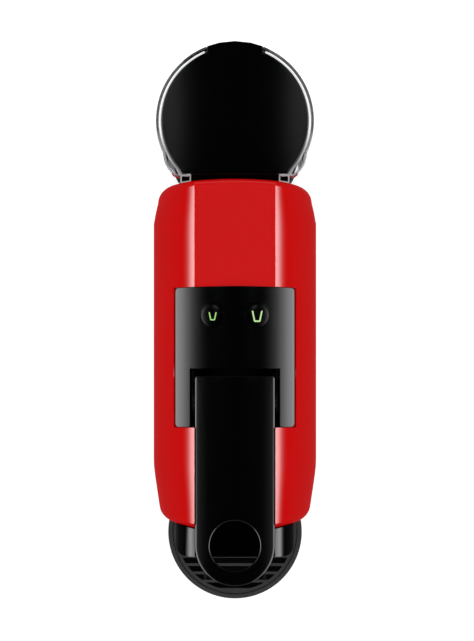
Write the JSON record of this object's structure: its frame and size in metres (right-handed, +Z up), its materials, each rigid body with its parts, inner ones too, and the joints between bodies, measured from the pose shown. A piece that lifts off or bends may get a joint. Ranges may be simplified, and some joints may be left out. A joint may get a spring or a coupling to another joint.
{
  "type": "pod coffee machine",
  "caption": "Slim capsule coffee machine: red body, black lever with finger ring, clear round water tank, round slatted drip tray, two buttons; lever, buttons, tank, lid and tray move.",
  "frame": {"origin": "on the table under the centre of the machine's box", "axes": "+Z up, +Y towards the water tank, -Y towards the cup, +X to the right"},
  "size_m": [0.095, 0.33, 0.204],
  "materials": {
    "gloss_red": "high gloss",
    "gloss_black": "high gloss",
    "satin_black": "satin",
    "clear": "clear moulded plastic",
    "rubber": "matt",
    "seal": "matt silicone",
    "steel": "brushed",
    "cast_aluminium": "die cast",
    "brass": "turned",
    "ivory_plastic": "satin",
    "coil": "satin",
    "blue_plastic": "satin",
    "board_green": "lacquered",
    "green_light": "lit"
  },
  "bodies": {
    "chassis": {"base": "satin_black", "rubber_feet": "rubber", "base_screws": "steel", "cord_gland": "satin_black", "tank_spigot": "satin_black", "spigot_seal": "seal", "casing": "gloss_red", "inner_frame": "satin_black", "frame_screws": "steel", "top_frame": "satin_black", "control_panel": "gloss_black", "head_cover": "gloss_black", "coffee_spout": "gloss_black", "coffee_gutter": "satin_black", "brew_frame": "satin_black", "lever_shaft": "steel", "capsule_cage": "satin_black", "piercing_needles": "steel", "capsule_chute": "satin_black", "thermoblock": "cast_aluminium", "thermoblock_fittings": "brass", "thermostat": "ivory_plastic", "brew_hose": "ivory_plastic", "pump_bracket": "steel", "pump_coil": "coil", "pump_tube": "ivory_plastic", "pump_dampers": "rubber", "pressure_hose": "ivory_plastic", "suction_hose": "ivory_plastic", "flow_meter": "ivory_plastic", "control_board": "board_green", "board_parts": "satin_black", "button_board": "board_green", "button_switches": "satin_black"},
    "lever": {"lever": "gloss_black", "crank_pins": "steel"},
    "carriage": {"plate_carriage": "satin_black", "piercing_plate": "steel", "plate_seal": "rubber"},
    "espresso_button": {"espresso_button": "gloss_black", "espresso_light": "green_light"},
    "lungo_button": {"lungo_button": "gloss_black", "lungo_light": "green_light"},
    "tank": {"water_tank": "clear", "tank_valve": "satin_black", "valve_seal": "seal", "lid_pin": "steel"},
    "valve": {"valve_plunger": "ivory_plastic"},
    "tank_lid": {"tank_lid": "gloss_black"},
    "tray": {"drip_tray": "satin_black", "capsule_container": "satin_black"},
    "grid": {"drip_grid": "satin_black"},
    "impeller": {"flow_impeller": "blue_plastic"}
  },
  "joints": [
    {"name": "lever_hinge", "type": "hinge", "parent": "chassis", "child": "lever", "pos_m": [0, -0.044, 0.188], "axis": [-1, 0, 0], "range_deg": [0, 85]},
    {"name": "carriage_slide", "type": "slide", "parent": "chassis", "child": "carriage", "axis": [0, -1, 0], "range_m": [0, 0.0321]},
    {"name": "espresso_press", "type": "slide", "parent": "chassis", "child": "espresso_button", "axis": [0, 0, -1], "range_m": [0, 0.0012], "stiffness_N_per_m": 1500},
    {"name": "lungo_press", "type": "slide", "parent": "chassis", "child": "lungo_button", "axis": [0, 0, -1], "range_m": [0, 0.0012], "stiffness_N_per_m": 1500},
    {"name": "tank_lift", "type": "slide", "parent": "chassis", "child": "tank", "axis": [0, 0, 1], "range_m": [0, 0.19]},
    {"name": "lid_hinge", "type": "hinge", "parent": "tank", "child": "tank_lid", "pos_m": [0, 0.0912, 0.1814], "axis": [1, 0, 0], "range_deg": [0, 90]},
    {"name": "valve_lift", "type": "slide", "parent": "tank", "child": "valve", "axis": [0, 0, 1], "range_m": [0, 0.003]},
    {"name": "tray_slide", "type": "slide", "parent": "chassis", "child": "tray", "axis": [0, -1, 0], "range_m": [0, 0.1]},
    {"name": "grid_lift", "type": "slide", "parent": "tray", "child": "grid", "axis": [0, 0, 1], "range_m": [0, 0.03]},
    {"name": "impeller_spin", "type": "hinge", "parent": "chassis", "child": "impeller", "pos_m": [0, 0.05, 0.014], "axis": [0, 0, 1], "continuous": true}
  ],
  "couplings": [
    {"joint": "carriage_slide", "follows": "lever_hinge", "m_per_rad": 0.021586}
  ]
}
